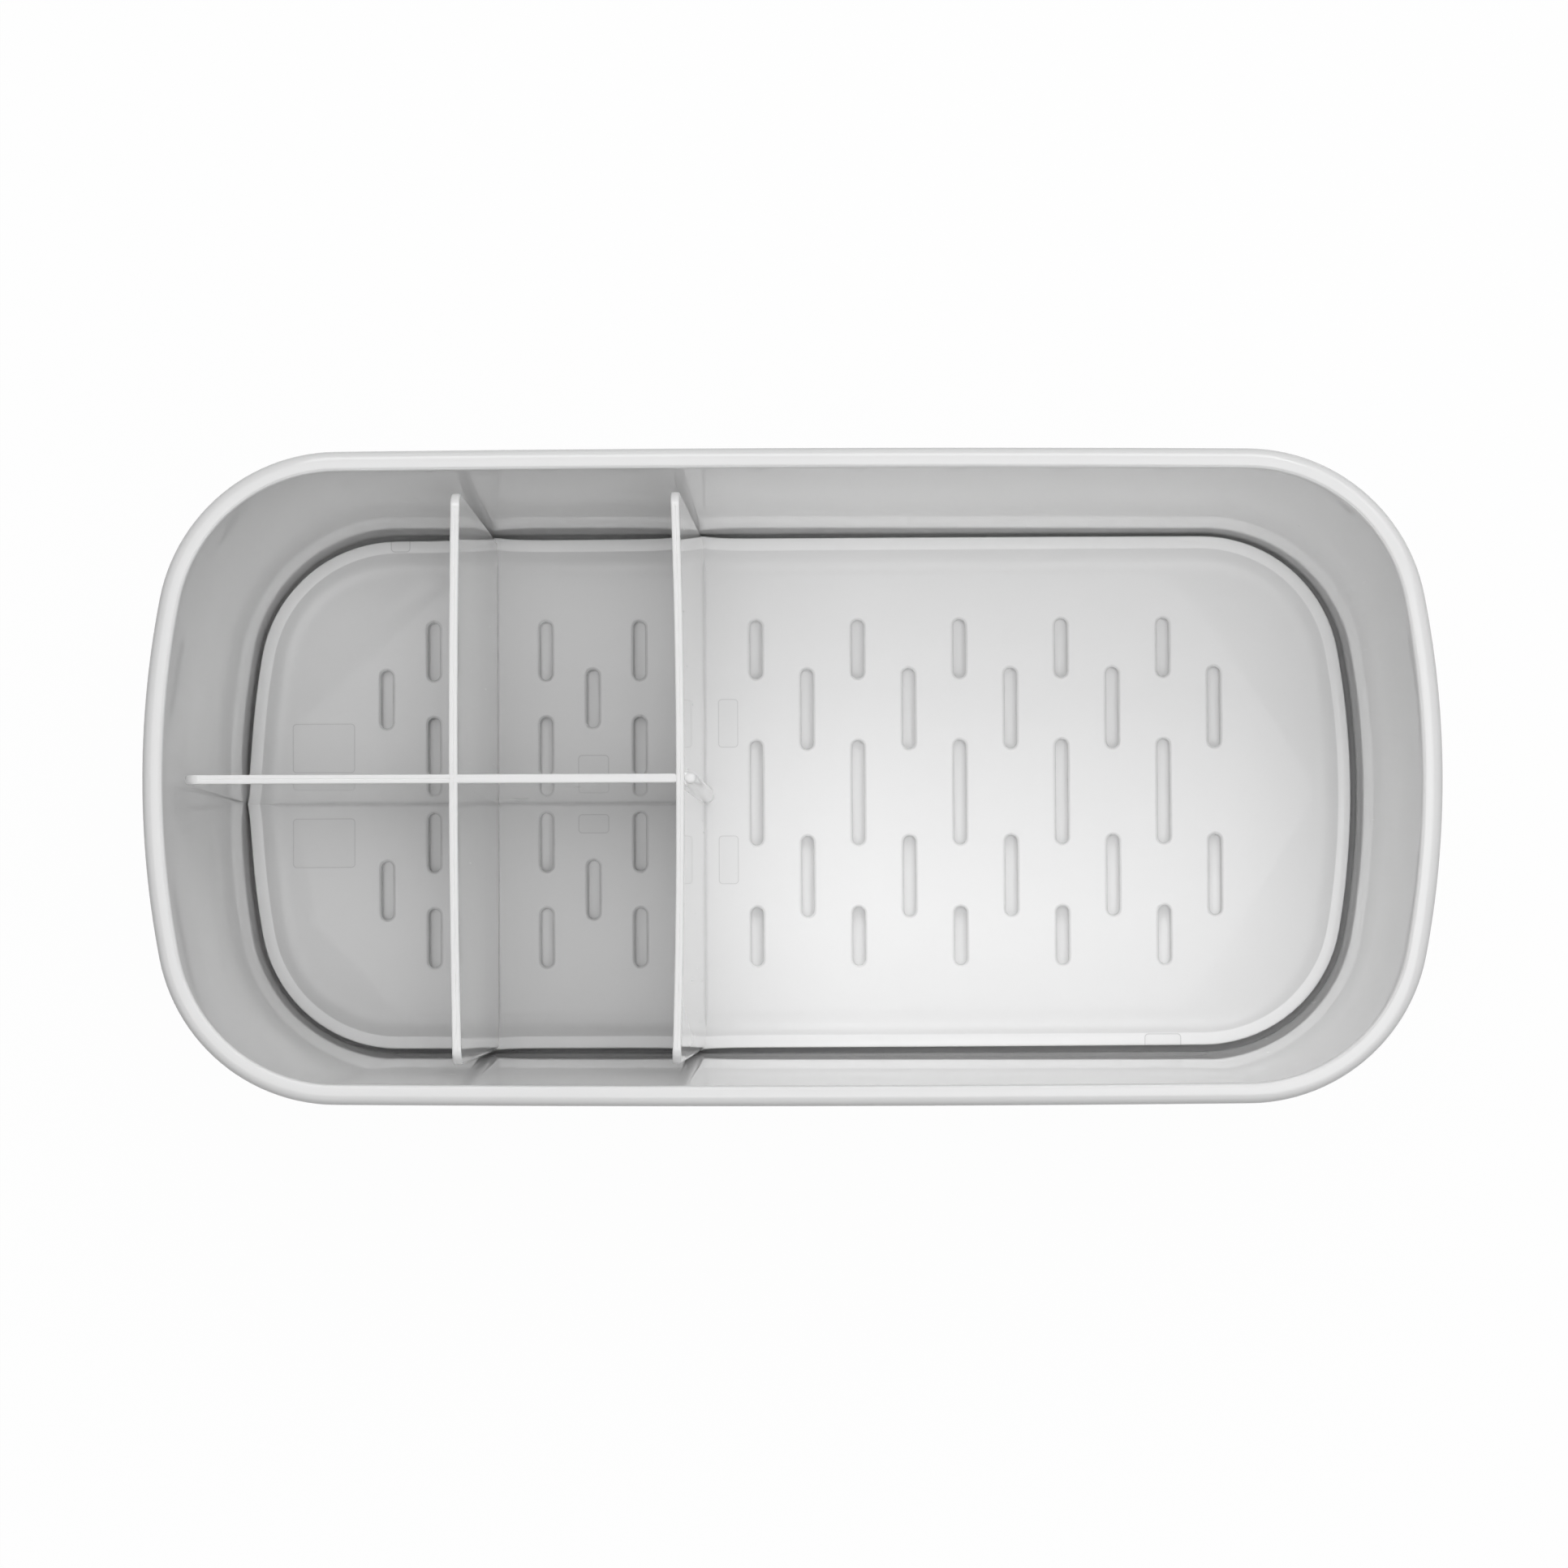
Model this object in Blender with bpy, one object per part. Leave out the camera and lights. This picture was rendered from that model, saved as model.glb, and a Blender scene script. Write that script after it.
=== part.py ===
"""Bathroom caddy: a glossy moulded tub and the divided insert that lifts out of it.

The tub has drafted walls, a thickened rim and four rubber feet. The insert is one moulding: a floor
plate with drain slots and a raised lip, two cross dividers, one long divider and a round post.
Metres, +Z up. X runs along the length, Y across it, and Z = 0 is the surface that the feet stand on.
"""

import math

import bmesh
import bpy

MM = 0.001

# Plan of the tub, measured on the outside of its rim
RIM_HALF_LENGTH = 140.0 * MM
RIM_HALF_WIDTH = 70.9 * MM
RIM_END_RADIUS = 204.5 * MM
RIM_CORNER_RADIUS = 39.0 * MM
SIDE_RADIUS = 10800.0 * MM

# Inside of the wall at the height of the insert's lip: its radii, how far it has drawn in from the rim's
# inner edge, and its lean there
LIP_END_RADIUS = 188.0 * MM
LIP_CORNER_RADIUS = 33.1 * MM
LIP_END_INSET = 7.6 * MM
LIP_SIDE_INSET = 6.6 * MM
END_LEAN = math.radians(2.2)
SIDE_LEAN = math.radians(2.8)

# Section of the tub
TUB_HEIGHT = 115.0 * MM
WALL = 2.2 * MM
TUB_FLOOR = 2.5 * MM
RIM_WIDTH = 4.4 * MM
RIM_BAND_HEIGHT = 6.0 * MM
RIM_INNER_ROUND = 0.9 * MM
RIM_OUTER_ROUND = 2.2 * MM
RIM_BAND_ROUND = 0.7 * MM
INNER_FLOOR_ROUND = 3.0 * MM
OUTER_FLOOR_ROUND = 5.0 * MM

# Rubber feet, seated in round recesses under the tub
FOOT_RADIUS = 8.0 * MM
FOOT_DROP = 1.0 * MM
FOOT_RECESS = 1.0 * MM
FOOT_ROUND = 0.4 * MM
FOOT_END_INSET = 30.0 * MM
FOOT_SIDE_INSET = 19.0 * MM

# Clearances
SEAT_GAP = 0.3 * MM
LIP_GAP = 1.15 * MM
DIVIDER_FOOT_GAP = 0.6 * MM
CROSS_DIVIDER_TOP_GAP = 4.7 * MM
LONG_DIVIDER_TOP_GAP = 4.6 * MM

# Floor plate of the insert
PLATE = 2.0 * MM
PLATE_HEIGHT = 3.0 * MM
LIP_RISE = 1.5 * MM
LIP_WIDTH = 2.8 * MM
LIP_ROUND = 0.3 * MM
LIP_FILLET = 0.6 * MM
LEG_RADIUS = 3.0 * MM
LEG_END_INSET = 27.0 * MM
LEG_SIDE_INSET = 11.0 * MM

# Locating swells of the lip, where a divider's foot meets the wall
SWELL_REACH = 10.0 * MM

# Dividers
CROSS_DIVIDER_X = (-72.4 * MM, -24.6 * MM)
LONG_DIVIDER_Y = 0.0
DIVIDER_TOP_THICKNESS = 1.9 * MM
CROSS_DIVIDER_FOOT_THICKNESS = 5.4 * MM
LONG_DIVIDER_FOOT_THICKNESS = 4.0 * MM
DIVIDER_FOOT_FILLET = 0.6 * MM
DIVIDER_CORNER_ROUND = 3.0 * MM
CROSS_DIVIDER_DROP = 0.6 * MM
LONG_DIVIDER_DROP = 0.65 * MM

# Half-round post against the second cross divider: its reach from the divider's middle, its radius, and its
# drop below the rim
POST_TOP_REACH = 3.5 * MM
POST_FOOT_REACH = 4.7 * MM
POST_TOP_RADIUS = 1.25 * MM
POST_FOOT_RADIUS = 1.9 * MM
POST_DROP = 1.0 * MM

# Drain slots: round-ended, in staggered columns
SLOT_WIDTH = 3.5 * MM
SLOT_CHAMFER = 0.4 * MM
SLOT_SHORT = 14.2 * MM
SLOT_MEDIUM = 19.3 * MM
SLOT_LONG = 24.8 * MM
SMALL_COLUMN_PITCH = 10.85 * MM
LARGE_COLUMN_PITCH = 11.72 * MM
SMALL_ROW_PITCH = 22.05 * MM
LARGE_SHORT_ROW = 33.1 * MM
LARGE_MEDIUM_ROW = 19.3 * MM
SMALL_COLUMN_AFTER_DIVIDER = 14.0 * MM
LARGE_COLUMN_AFTER_DIVIDER = 14.7 * MM
COLUMN_BEFORE_DIVIDER = 11.9 * MM
SLOT_END_MARGIN = 28.2 * MM
SLOT_SIDE_MARGIN = 15.0 * MM

# Heights that follow from the sizes above
TUB_FLOOR_TOP = FOOT_DROP + TUB_FLOOR
PLATE_UNDERSIDE = TUB_FLOOR_TOP + PLATE_HEIGHT
PLATE_TOP = PLATE_UNDERSIDE + PLATE
LIP_TOP = PLATE_TOP + LIP_RISE

# Facets: segments of one side, one end and one corner
TUB_SEGMENTS = (6, 8, 10)
INSERT_SEGMENTS = (38, 14, 7)
WALL_SEGMENTS = 5
ROUND_STEPS = 4
CIRCLE_STEPS = 32
POST_STEPS = 12


class Plan:
    """Rounded rectangle of end arcs, long side arcs and corner arcs, all tangent to each other."""

    def __init__(self, half_length, half_width, end_radius, corner_radius):
        self.end_radius = end_radius
        self.corner_radius = corner_radius
        self.end_x = half_length - end_radius
        self.side_y = half_width - SIDE_RADIUS
        to_end = end_radius - corner_radius
        to_side = SIDE_RADIUS - corner_radius
        span = math.hypot(self.end_x, self.side_y)
        unit = (self.end_x / span, -self.side_y / span)
        along = (to_side ** 2 - to_end ** 2 + span ** 2) / (2.0 * span)
        across = math.sqrt(to_side ** 2 - along ** 2)
        self.corner_x = along * unit[0] + across * unit[1]
        self.corner_y = self.side_y + along * unit[1] - across * unit[0]
        self.end_angle = math.atan2(self.corner_y, self.corner_x - self.end_x)
        self.side_angle = math.atan2(self.corner_y - self.side_y, self.corner_x)

    def side_at(self, x):
        """Half width of the plan at a place along its length."""
        return self.side_y + math.sqrt(SIDE_RADIUS ** 2 - x ** 2)

    def end_at(self, y):
        """Half length of the plan at a place across its width."""
        return self.end_x + math.sqrt(self.end_radius ** 2 - y ** 2)

    def quadrant(self, segments):
        """Points and outward normals from +X to +Y, both included."""
        sides, ends, corners = segments
        arcs = (
            (self.end_x, 0.0, self.end_radius, 0.0, self.end_angle, ends // 2),
            (self.corner_x, self.corner_y, self.corner_radius, self.end_angle, self.side_angle, corners),
            (0.0, self.side_y, SIDE_RADIUS, self.side_angle, math.pi / 2.0, sides // 2),
        )
        points = [(self.end_x + self.end_radius, 0.0, 1.0, 0.0)]
        for x, y, radius, start, stop, steps in arcs:
            for step in range(1, steps + 1):
                angle = start + (stop - start) * step / steps
                cosine = math.cos(angle)
                sine = math.sin(angle)
                points.append((x + radius * cosine, y + radius * sine, cosine, sine))
        return points

    def loop(self, segments, z, offset, swell=None):
        """Closed ring at height z, pushed out along its normals by an offset and a swell."""
        first = self.quadrant(segments)
        second = [(-x, y, -nx, ny) for x, y, nx, ny in reversed(first[:-1])]
        half = first + second
        lower = [(x, -y, nx, -ny) for x, y, nx, ny in reversed(half[1:-1])]
        ring = []
        for x, y, nx, ny in half + lower:
            push = offset + (swell(x, y) if swell else 0.0)
            ring.append((x + nx * push, y + ny * push, z))
        return ring


def blend(start, stop, share):
    return start + (stop - start) * share


def lip_to_rim(z):
    """Share of the way from the lip's height up to the rim's."""
    return (z - LIP_TOP) / (TUB_HEIGHT - LIP_TOP)


def wall_inset(z, inset, lean):
    """How far the wall has drawn in from the rim's inner edge at a height.

    Above the lip it keeps a steady lean, and a flare that grows with the cube of the height makes up the
    rest of the inset.
    """
    steady = (TUB_HEIGHT - LIP_TOP) * math.tan(lean)
    return inset - steady * lip_to_rim(z) - (inset - steady) * max(lip_to_rim(z), 0.0) ** 3


def wall_plan(z):
    """Plan of the tub's inner wall at a height."""
    share = 1.0 - lip_to_rim(z)
    return Plan(
        RIM_HALF_LENGTH - RIM_WIDTH - wall_inset(z, LIP_END_INSET, END_LEAN),
        RIM_HALF_WIDTH - RIM_WIDTH - wall_inset(z, LIP_SIDE_INSET, SIDE_LEAN),
        blend(RIM_END_RADIUS - RIM_WIDTH, LIP_END_RADIUS, share),
        blend(RIM_CORNER_RADIUS - RIM_WIDTH, LIP_CORNER_RADIUS, share),
    )


def quarter_arc(z, offset, radius, start_degrees, stop_degrees):
    """Heights and offsets round an arc in the section, as (z, offset) pairs."""
    pairs = []
    for step in range(ROUND_STEPS + 1):
        angle = math.radians(blend(start_degrees, stop_degrees, step / ROUND_STEPS))
        pairs.append((z + radius * math.sin(angle), offset + radius * math.cos(angle)))
    return pairs


def plastic(name, colour, roughness):
    material = bpy.data.materials.new(name)
    material.use_nodes = True
    shader = material.node_tree.nodes["Principled BSDF"]
    shader.inputs["Base Color"].default_value = (*colour, 1.0)
    shader.inputs["Roughness"].default_value = roughness
    shader.inputs["Metallic"].default_value = 0.0
    return material


def add_object(name, mesh, material=None):
    """Turn a bmesh into a linked object with smooth shading and crisp edges."""
    bmesh.ops.recalc_face_normals(mesh, faces=mesh.faces)
    data = bpy.data.meshes.new(name)
    mesh.to_mesh(data)
    mesh.free()
    data.shade_smooth()
    data.set_sharp_from_angle(angle=math.radians(35.0))
    if material:
        data.materials.append(material)
    thing = bpy.data.objects.new(name, data)
    bpy.context.scene.collection.objects.link(thing)
    return thing


def add_loft(mesh, rings):
    """Add a closed solid through rings of equal length, capped at both ends."""
    rows = [[mesh.verts.new(point) for point in ring] for ring in rings]
    count = len(rows[0])
    for lower, upper in zip(rows, rows[1:]):
        for index in range(count):
            following = (index + 1) % count
            mesh.faces.new((lower[index], lower[following], upper[following], upper[index]))
    mesh.faces.new(rows[0])
    mesh.faces.new(rows[-1])


def loft(name, rings, material=None):
    mesh = bmesh.new()
    add_loft(mesh, rings)
    return add_object(name, mesh, material)


def circle(x, y, z, radius, steps):
    angles = [2.0 * math.pi * step / steps for step in range(steps)]
    return [(x + radius * math.cos(angle), y + radius * math.sin(angle), z) for angle in angles]


def stadium(start, stop, half_width, steps=4):
    """Plan of a round-ended bar from start to stop, as (along, across) pairs."""
    pairs = []
    for centre, turn in ((stop - half_width, -math.pi / 2.0), (start + half_width, math.pi / 2.0)):
        for step in range(steps + 1):
            angle = turn + math.pi * step / steps
            pairs.append((centre + half_width * math.cos(angle), half_width * math.sin(angle)))
    return pairs


def combine(target, tool, operation):
    """Cut a hidden tool from the target, or join it to the target."""
    modifier = target.modifiers.new(tool.name, "BOOLEAN")
    modifier.operation = operation
    modifier.solver = "EXACT"
    modifier.object = tool
    tool.hide_render = True
    tool.display_type = "WIRE"


def build_tub(material):
    """Outer shell: inner floor, flared wall, thickened rim with its band, outer wall and underside."""
    band = TUB_HEIGHT - RIM_BAND_HEIGHT
    heights = [blend(LIP_TOP, band, step / WALL_SEGMENTS) for step in range(1, WALL_SEGMENTS)]
    inside = quarter_arc(TUB_FLOOR_TOP + INNER_FLOOR_ROUND, -INNER_FLOOR_ROUND, INNER_FLOOR_ROUND, -90, 0)
    inside += [(z, 0.0) for z in heights]
    inside += quarter_arc(TUB_HEIGHT - RIM_INNER_ROUND, RIM_INNER_ROUND, RIM_INNER_ROUND, 180, 90)
    rim = quarter_arc(TUB_HEIGHT - RIM_OUTER_ROUND, RIM_WIDTH - RIM_OUTER_ROUND, RIM_OUTER_ROUND, 90, 0)
    rim += quarter_arc(band + RIM_BAND_ROUND, RIM_WIDTH - RIM_BAND_ROUND, RIM_BAND_ROUND, 0, -90)
    outside = [(z, WALL) for z in [band, *reversed(heights)]]
    corner_out = WALL - OUTER_FLOOR_ROUND
    outside += quarter_arc(FOOT_DROP + OUTER_FLOOR_ROUND, corner_out, OUTER_FLOOR_ROUND, 0, -90)
    rim_plan = wall_plan(TUB_HEIGHT)
    rings = [wall_plan(z).loop(TUB_SEGMENTS, z, offset) for z, offset in inside]
    rings += [rim_plan.loop(TUB_SEGMENTS, z, offset) for z, offset in rim]
    rings += [wall_plan(z).loop(TUB_SEGMENTS, z, offset) for z, offset in outside]
    return loft("tub", rings, material)


def foot_places():
    """Centres of the four feet, inside the flat part of the tub's underside."""
    base = wall_plan(FOOT_DROP)
    reach = WALL - OUTER_FLOOR_ROUND
    x = base.end_at(0.0) + reach - FOOT_END_INSET
    y = base.side_at(0.0) + reach - FOOT_SIDE_INSET
    return {
        "front_left": (-x, -y),
        "front_right": (x, -y),
        "back_left": (-x, y),
        "back_right": (x, y),
    }


def build_feet(tub, material):
    """Four rubber discs and the recesses that they sit in."""
    cutters = bmesh.new()
    recess_radius = FOOT_RADIUS + SEAT_GAP
    for place, (x, y) in foot_places().items():
        low = circle(x, y, FOOT_DROP - FOOT_RECESS, recess_radius, CIRCLE_STEPS)
        high = circle(x, y, FOOT_DROP + FOOT_RECESS, recess_radius, CIRCLE_STEPS)
        add_loft(cutters, (low, high))
        edge = FOOT_RADIUS - FOOT_ROUND
        top = FOOT_DROP + FOOT_RECESS - SEAT_GAP
        rings = [circle(0.0, 0.0, z, radius, CIRCLE_STEPS)
                 for z, radius in quarter_arc(FOOT_ROUND, edge, FOOT_ROUND, -90, 0)]
        rings.append(circle(0.0, 0.0, top, FOOT_RADIUS, CIRCLE_STEPS))
        foot = loft("foot_" + place, rings, material)
        foot.location = (x, y, 0.0)
        foot.parent = tub
    combine(tub, add_object("foot_recess_cutters", cutters), "DIFFERENCE")


def swell_at(x, y):
    """How far the lip swells towards the wall near the foot of a divider."""
    if abs(y) > LIP_CORNER_RADIUS:
        reach = min(abs(x - divider) for divider in CROSS_DIVIDER_X)
    elif x < CROSS_DIVIDER_X[0]:
        reach = abs(y - LONG_DIVIDER_Y)
    else:
        return 0.0
    if reach >= SWELL_REACH:
        return 0.0
    return (LIP_GAP - SEAT_GAP) * math.cos(0.5 * math.pi * reach / SWELL_REACH) ** 2


def build_plate(material):
    """Floor plate of the insert: its flat top ends in a fillet and a raised lip that follows the wall."""
    lip_edge = -LIP_GAP - LIP_WIDTH
    section = quarter_arc(PLATE_TOP + LIP_FILLET, lip_edge - LIP_FILLET, LIP_FILLET, -90, 0)
    section += [
        (LIP_TOP - LIP_ROUND, lip_edge),
        (LIP_TOP, lip_edge + LIP_ROUND),
        (LIP_TOP, -LIP_GAP - LIP_ROUND),
        (LIP_TOP - LIP_ROUND, -LIP_GAP),
        (PLATE_UNDERSIDE, -LIP_GAP),
    ]
    rings = []
    for z, offset in section:
        rings.append(wall_plan(z).loop(INSERT_SEGMENTS, z, offset, swell_at))
    return loft("insert", rings, material)


def slot_columns(first, limit, pitch):
    """Places of the slot columns that fit from the first one to a limit on either side of it."""
    count = int(abs(limit - first) / pitch + 0.001) + 1
    step = math.copysign(pitch, limit - first)
    return [first + step * index for index in range(count)]


def slot_places():
    """Centre and length of every drain slot, as (x, y, length)."""
    lip = wall_plan(LIP_TOP)
    inset = LIP_GAP + LIP_WIDTH
    end_limit = lip.end_at(0.0) - inset - SLOT_END_MARGIN
    side_limit = lip.side_at(0.0) - inset - SLOT_SIDE_MARGIN
    first, second = CROSS_DIVIDER_X
    left = slot_columns(first - COLUMN_BEFORE_DIVIDER, -end_limit, SMALL_COLUMN_PITCH)
    middle_start = first + SMALL_COLUMN_AFTER_DIVIDER
    middle = slot_columns(middle_start, second - COLUMN_BEFORE_DIVIDER, SMALL_COLUMN_PITCH)
    right = slot_columns(second + LARGE_COLUMN_AFTER_DIVIDER, end_limit, LARGE_COLUMN_PITCH)
    places = []
    for columns in (left, middle):
        for index, x in enumerate(columns):
            start = 0.5 if index % 2 == 0 else 1.0
            places += [(x, SMALL_ROW_PITCH * (start + row), SLOT_SHORT) for row in range(2)]
    for index, x in enumerate(right):
        if index % 2 == 0:
            places += [(x, 0.0, SLOT_LONG), (x, LARGE_SHORT_ROW, SLOT_SHORT)]
        else:
            places.append((x, LARGE_MEDIUM_ROW, SLOT_MEDIUM))
    mirrored = [(x, -y, length) for x, y, length in places if y > 0.0]
    return [place for place in places + mirrored if abs(place[1]) + place[2] / 2.0 < side_limit]


def cut_slots(insert):
    """Drain slots through the floor plate, each with a chamfered upper edge."""
    cutters = bmesh.new()
    widths = (
        (PLATE_UNDERSIDE - SLOT_CHAMFER, 0.0),
        (PLATE_TOP - SLOT_CHAMFER, 0.0),
        (PLATE_TOP + SLOT_CHAMFER, 2.0 * SLOT_CHAMFER),
    )
    for x, y, length in slot_places():
        rings = []
        for z, flare in widths:
            reach = length / 2.0 + flare
            plan = stadium(-reach, reach, SLOT_WIDTH / 2.0 + flare)
            rings.append([(x - across, y + along, z) for along, across in plan])
        add_loft(cutters, rings)
    combine(insert, add_object("slot_cutters", cutters), "DIFFERENCE")


def divider_rings(foot_thickness, drop, low_end, high_end, to_world):
    """Rings of a drafted divider, from inside the floor plate up to its rounded top edge.

    Each end is given as (wall height function, rounded) or as a fixed place, and to_world turns an
    (along, across) pair into x and y.
    """
    top = TUB_HEIGHT - drop
    edge = DIVIDER_TOP_THICKNESS / 2.0
    fillet = DIVIDER_FOOT_FILLET
    corner = top - DIVIDER_CORNER_ROUND
    heights = [PLATE_UNDERSIDE + PLATE / 2.0]
    heights += [PLATE_TOP + fillet * (1.0 - math.cos(math.radians(angle))) for angle in (0, 30, 60, 90)]
    heights += [corner + DIVIDER_CORNER_ROUND * math.sin(math.radians(angle)) for angle in (0, 20, 40)]
    heights += [top - edge * (1.0 - math.sin(math.radians(angle))) for angle in (0, 20, 40, 60, 80)]
    rings = []
    for z in heights:
        share = max(0.0, (z - PLATE_TOP) / (top - PLATE_TOP))
        half = blend(foot_thickness / 2.0, edge, share)
        rise = z - PLATE_TOP
        if rise < fillet:
            half += fillet - math.sqrt(fillet ** 2 - (fillet - max(rise, 0.0)) ** 2)
        if z > top - edge:
            half *= math.sqrt(max(0.0, 1.0 - ((z - top + edge) / edge) ** 2))
        rounding = 0.0
        if z > corner:
            rounding = DIVIDER_CORNER_ROUND - math.sqrt(DIVIDER_CORNER_ROUND ** 2 - (z - corner) ** 2)
        plan = stadium(low_end(z, rounding), high_end(z, rounding), half)
        rings.append([(*to_world(along, across), z) for along, across in plan])
    return rings


def divider_reach(z, lip_wall, rim_wall, top_gap):
    """How far a divider's end reaches: straight up, close to the wall at the lip and clear of it above."""
    return blend(lip_wall - DIVIDER_FOOT_GAP, rim_wall - top_gap, lip_to_rim(z))


def add_dividers(insert):
    """Two cross dividers, and the long one that runs from the left end into the second of them."""
    lip = wall_plan(LIP_TOP)
    rim = wall_plan(TUB_HEIGHT)
    for number, divider_x in enumerate(CROSS_DIVIDER_X, start=1):
        def reach(z, rounding):
            walls = (lip.side_at(divider_x), rim.side_at(divider_x))
            return divider_reach(z, *walls, CROSS_DIVIDER_TOP_GAP) - rounding

        rings = divider_rings(
            CROSS_DIVIDER_FOOT_THICKNESS,
            CROSS_DIVIDER_DROP,
            lambda z, rounding: -reach(z, rounding),
            reach,
            lambda along, across: (divider_x + across, along),
        )
        combine(insert, loft(f"cross_divider_{number}", rings), "UNION")
    ends = (lip.end_at(LONG_DIVIDER_Y), rim.end_at(LONG_DIVIDER_Y))
    rings = divider_rings(
        LONG_DIVIDER_FOOT_THICKNESS,
        LONG_DIVIDER_DROP,
        lambda z, rounding: rounding - divider_reach(z, *ends, LONG_DIVIDER_TOP_GAP),
        lambda z, rounding: CROSS_DIVIDER_X[1],
        lambda along, across: (along, LONG_DIVIDER_Y + across),
    )
    combine(insert, loft("long_divider", rings), "UNION")


def add_post(insert):
    """Half-round post with a domed top, moulded onto the second cross divider."""
    x = CROSS_DIVIDER_X[1]
    shoulder = TUB_HEIGHT - POST_DROP - POST_TOP_RADIUS
    levels = [
        (PLATE_UNDERSIDE + PLATE / 2.0, POST_FOOT_REACH, POST_FOOT_RADIUS),
        (shoulder, POST_TOP_REACH, POST_TOP_RADIUS),
    ]
    for degrees in (30.0, 60.0, 80.0):
        angle = math.radians(degrees)
        radius = POST_TOP_RADIUS * math.cos(angle)
        reach = POST_TOP_REACH - POST_TOP_RADIUS + radius
        levels.append((shoulder + POST_TOP_RADIUS * math.sin(angle), reach, radius))
    rings = []
    for z, reach, radius in levels:
        plan = stadium(x, x + reach, radius, POST_STEPS // 2)
        rings.append([(along, LONG_DIVIDER_Y + across, z) for along, across in plan])
    combine(insert, loft("post", rings), "UNION")


def add_legs(insert):
    """Short legs under the floor plate, which hold it clear of the water in the tub."""
    lip = wall_plan(PLATE_UNDERSIDE)
    far = lip.end_at(0.0) - LIP_GAP - LEG_END_INSET
    y = lip.side_at(0.0) - LIP_GAP - LEG_SIDE_INSET
    legs = bmesh.new()
    for x in (-far, -far / 3.0, far / 3.0, far):
        for side in (-y, y):
            low = circle(x, side, TUB_FLOOR_TOP + SEAT_GAP, LEG_RADIUS, POST_STEPS)
            high = circle(x, side, PLATE_UNDERSIDE + PLATE / 2.0, LEG_RADIUS, POST_STEPS)
            add_loft(legs, (low, high))
    combine(insert, add_object("insert_legs", legs), "UNION")


def clear_scene():
    for thing in list(bpy.data.objects):
        bpy.data.objects.remove(thing, do_unlink=True)


clear_scene()
white = (0.86, 0.86, 0.86)
tub_plastic = plastic("tub_plastic", white, 0.12)
insert_plastic = plastic("insert_plastic", white, 0.15)
foot_rubber = plastic("foot_rubber", (0.62, 0.62, 0.62), 0.7)
caddy_tub = build_tub(tub_plastic)
build_feet(caddy_tub, foot_rubber)
caddy_insert = build_plate(insert_plastic)
cut_slots(caddy_insert)
add_dividers(caddy_insert)
add_post(caddy_insert)
add_legs(caddy_insert)
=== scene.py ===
import math

import bpy
import numpy as np
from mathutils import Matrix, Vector


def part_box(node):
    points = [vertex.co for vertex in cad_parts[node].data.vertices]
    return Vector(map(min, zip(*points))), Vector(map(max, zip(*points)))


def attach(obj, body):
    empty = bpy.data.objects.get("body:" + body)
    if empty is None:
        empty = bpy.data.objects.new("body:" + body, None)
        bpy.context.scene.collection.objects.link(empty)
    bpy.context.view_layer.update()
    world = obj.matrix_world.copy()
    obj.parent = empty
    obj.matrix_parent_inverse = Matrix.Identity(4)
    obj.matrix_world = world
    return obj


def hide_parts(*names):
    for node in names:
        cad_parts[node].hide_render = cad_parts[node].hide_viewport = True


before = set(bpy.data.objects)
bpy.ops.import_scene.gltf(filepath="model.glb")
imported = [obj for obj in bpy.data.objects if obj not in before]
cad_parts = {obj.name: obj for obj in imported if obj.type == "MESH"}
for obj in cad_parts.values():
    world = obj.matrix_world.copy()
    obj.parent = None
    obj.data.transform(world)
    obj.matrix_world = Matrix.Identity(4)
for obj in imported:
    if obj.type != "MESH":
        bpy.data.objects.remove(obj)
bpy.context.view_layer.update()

# Tub: one injection moulding in glossy white plastic, open at the top. The mould's draft leans its walls
# outwards, the ends of its plan are bowed, and a thick rounded rim runs round the top. Four shallow round
# recesses underneath take the feet.
MM = 0.001
tub_low, tub_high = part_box("tub")
RIM_HALF_LENGTH, RIM_HALF_WIDTH, TUB_HEIGHT = tub_high
UNDERSIDE = tub_low.z
RIM_END_RADIUS = 204.5 * MM
RIM_SIDE_RADIUS = 10800.0 * MM
RIM_CORNER_RADIUS = 39.0 * MM
RIM_WIDTH = 4.4 * MM
RIM_BAND_HEIGHT = 6.0 * MM
RIM_INNER_ROUND = 0.9 * MM
RIM_INNER_STEPS = 24
RIM_OUTER_ROUND = 2.2 * MM
RIM_BAND_ROUND = 0.7 * MM
RIM_HAIRLINE = 0.05 * MM
HAIRLINE_RINGS = slice(9, 11)
WALL = 2.2 * MM
OUTER_WALL_FOOT = 15.0 * MM
OUTER_WALL_RINGS = 24
INNER_WALL_DROP = 3.0 * MM
INNER_WALL_RINGS = 40
FLOOR_THICKNESS = 2.5 * MM
TUB_FLOOR_TOP = UNDERSIDE + FLOOR_THICKNESS
INNER_FLOOR_ROUND = 3.0 * MM
OUTER_FLOOR_ROUND = 5.0 * MM
SUPPORT = 0.4 * MM
LIP_TOP = 10.0 * MM
LIP_END_RADIUS = 188.0 * MM
LIP_SIDE_RADIUS = 30000.0 * MM
LIP_CORNER_RADIUS = 33.1 * MM
LIP_END_INSET = 7.6 * MM
LIP_SIDE_INSET = 6.50 * MM
END_LEAN = math.tan(math.radians(2.2))
SIDE_LEAN = math.tan(math.radians(2.8))
TUB_STEPS = (14, 26, 8)
ROUND_STEPS = 8
CRISP_EDGE = 35.0
TUB_WHITE = (0.94, 0.94, 0.94, 1.0)
WORN_WHITE = (0.89, 0.89, 0.89, 1.0)
WORN_SHARE = 0.25
SPECK_GREY = (0.30, 0.30, 0.30, 1.0)
SPECK_SHARE = 0.8
POLISH = 0.02
FLOW_BLUR = 0.02
SCUFF_BLUR = 0.12
POLISH_GRAIN = 0.0006
PEEL_HEIGHT = 3.0
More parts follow.
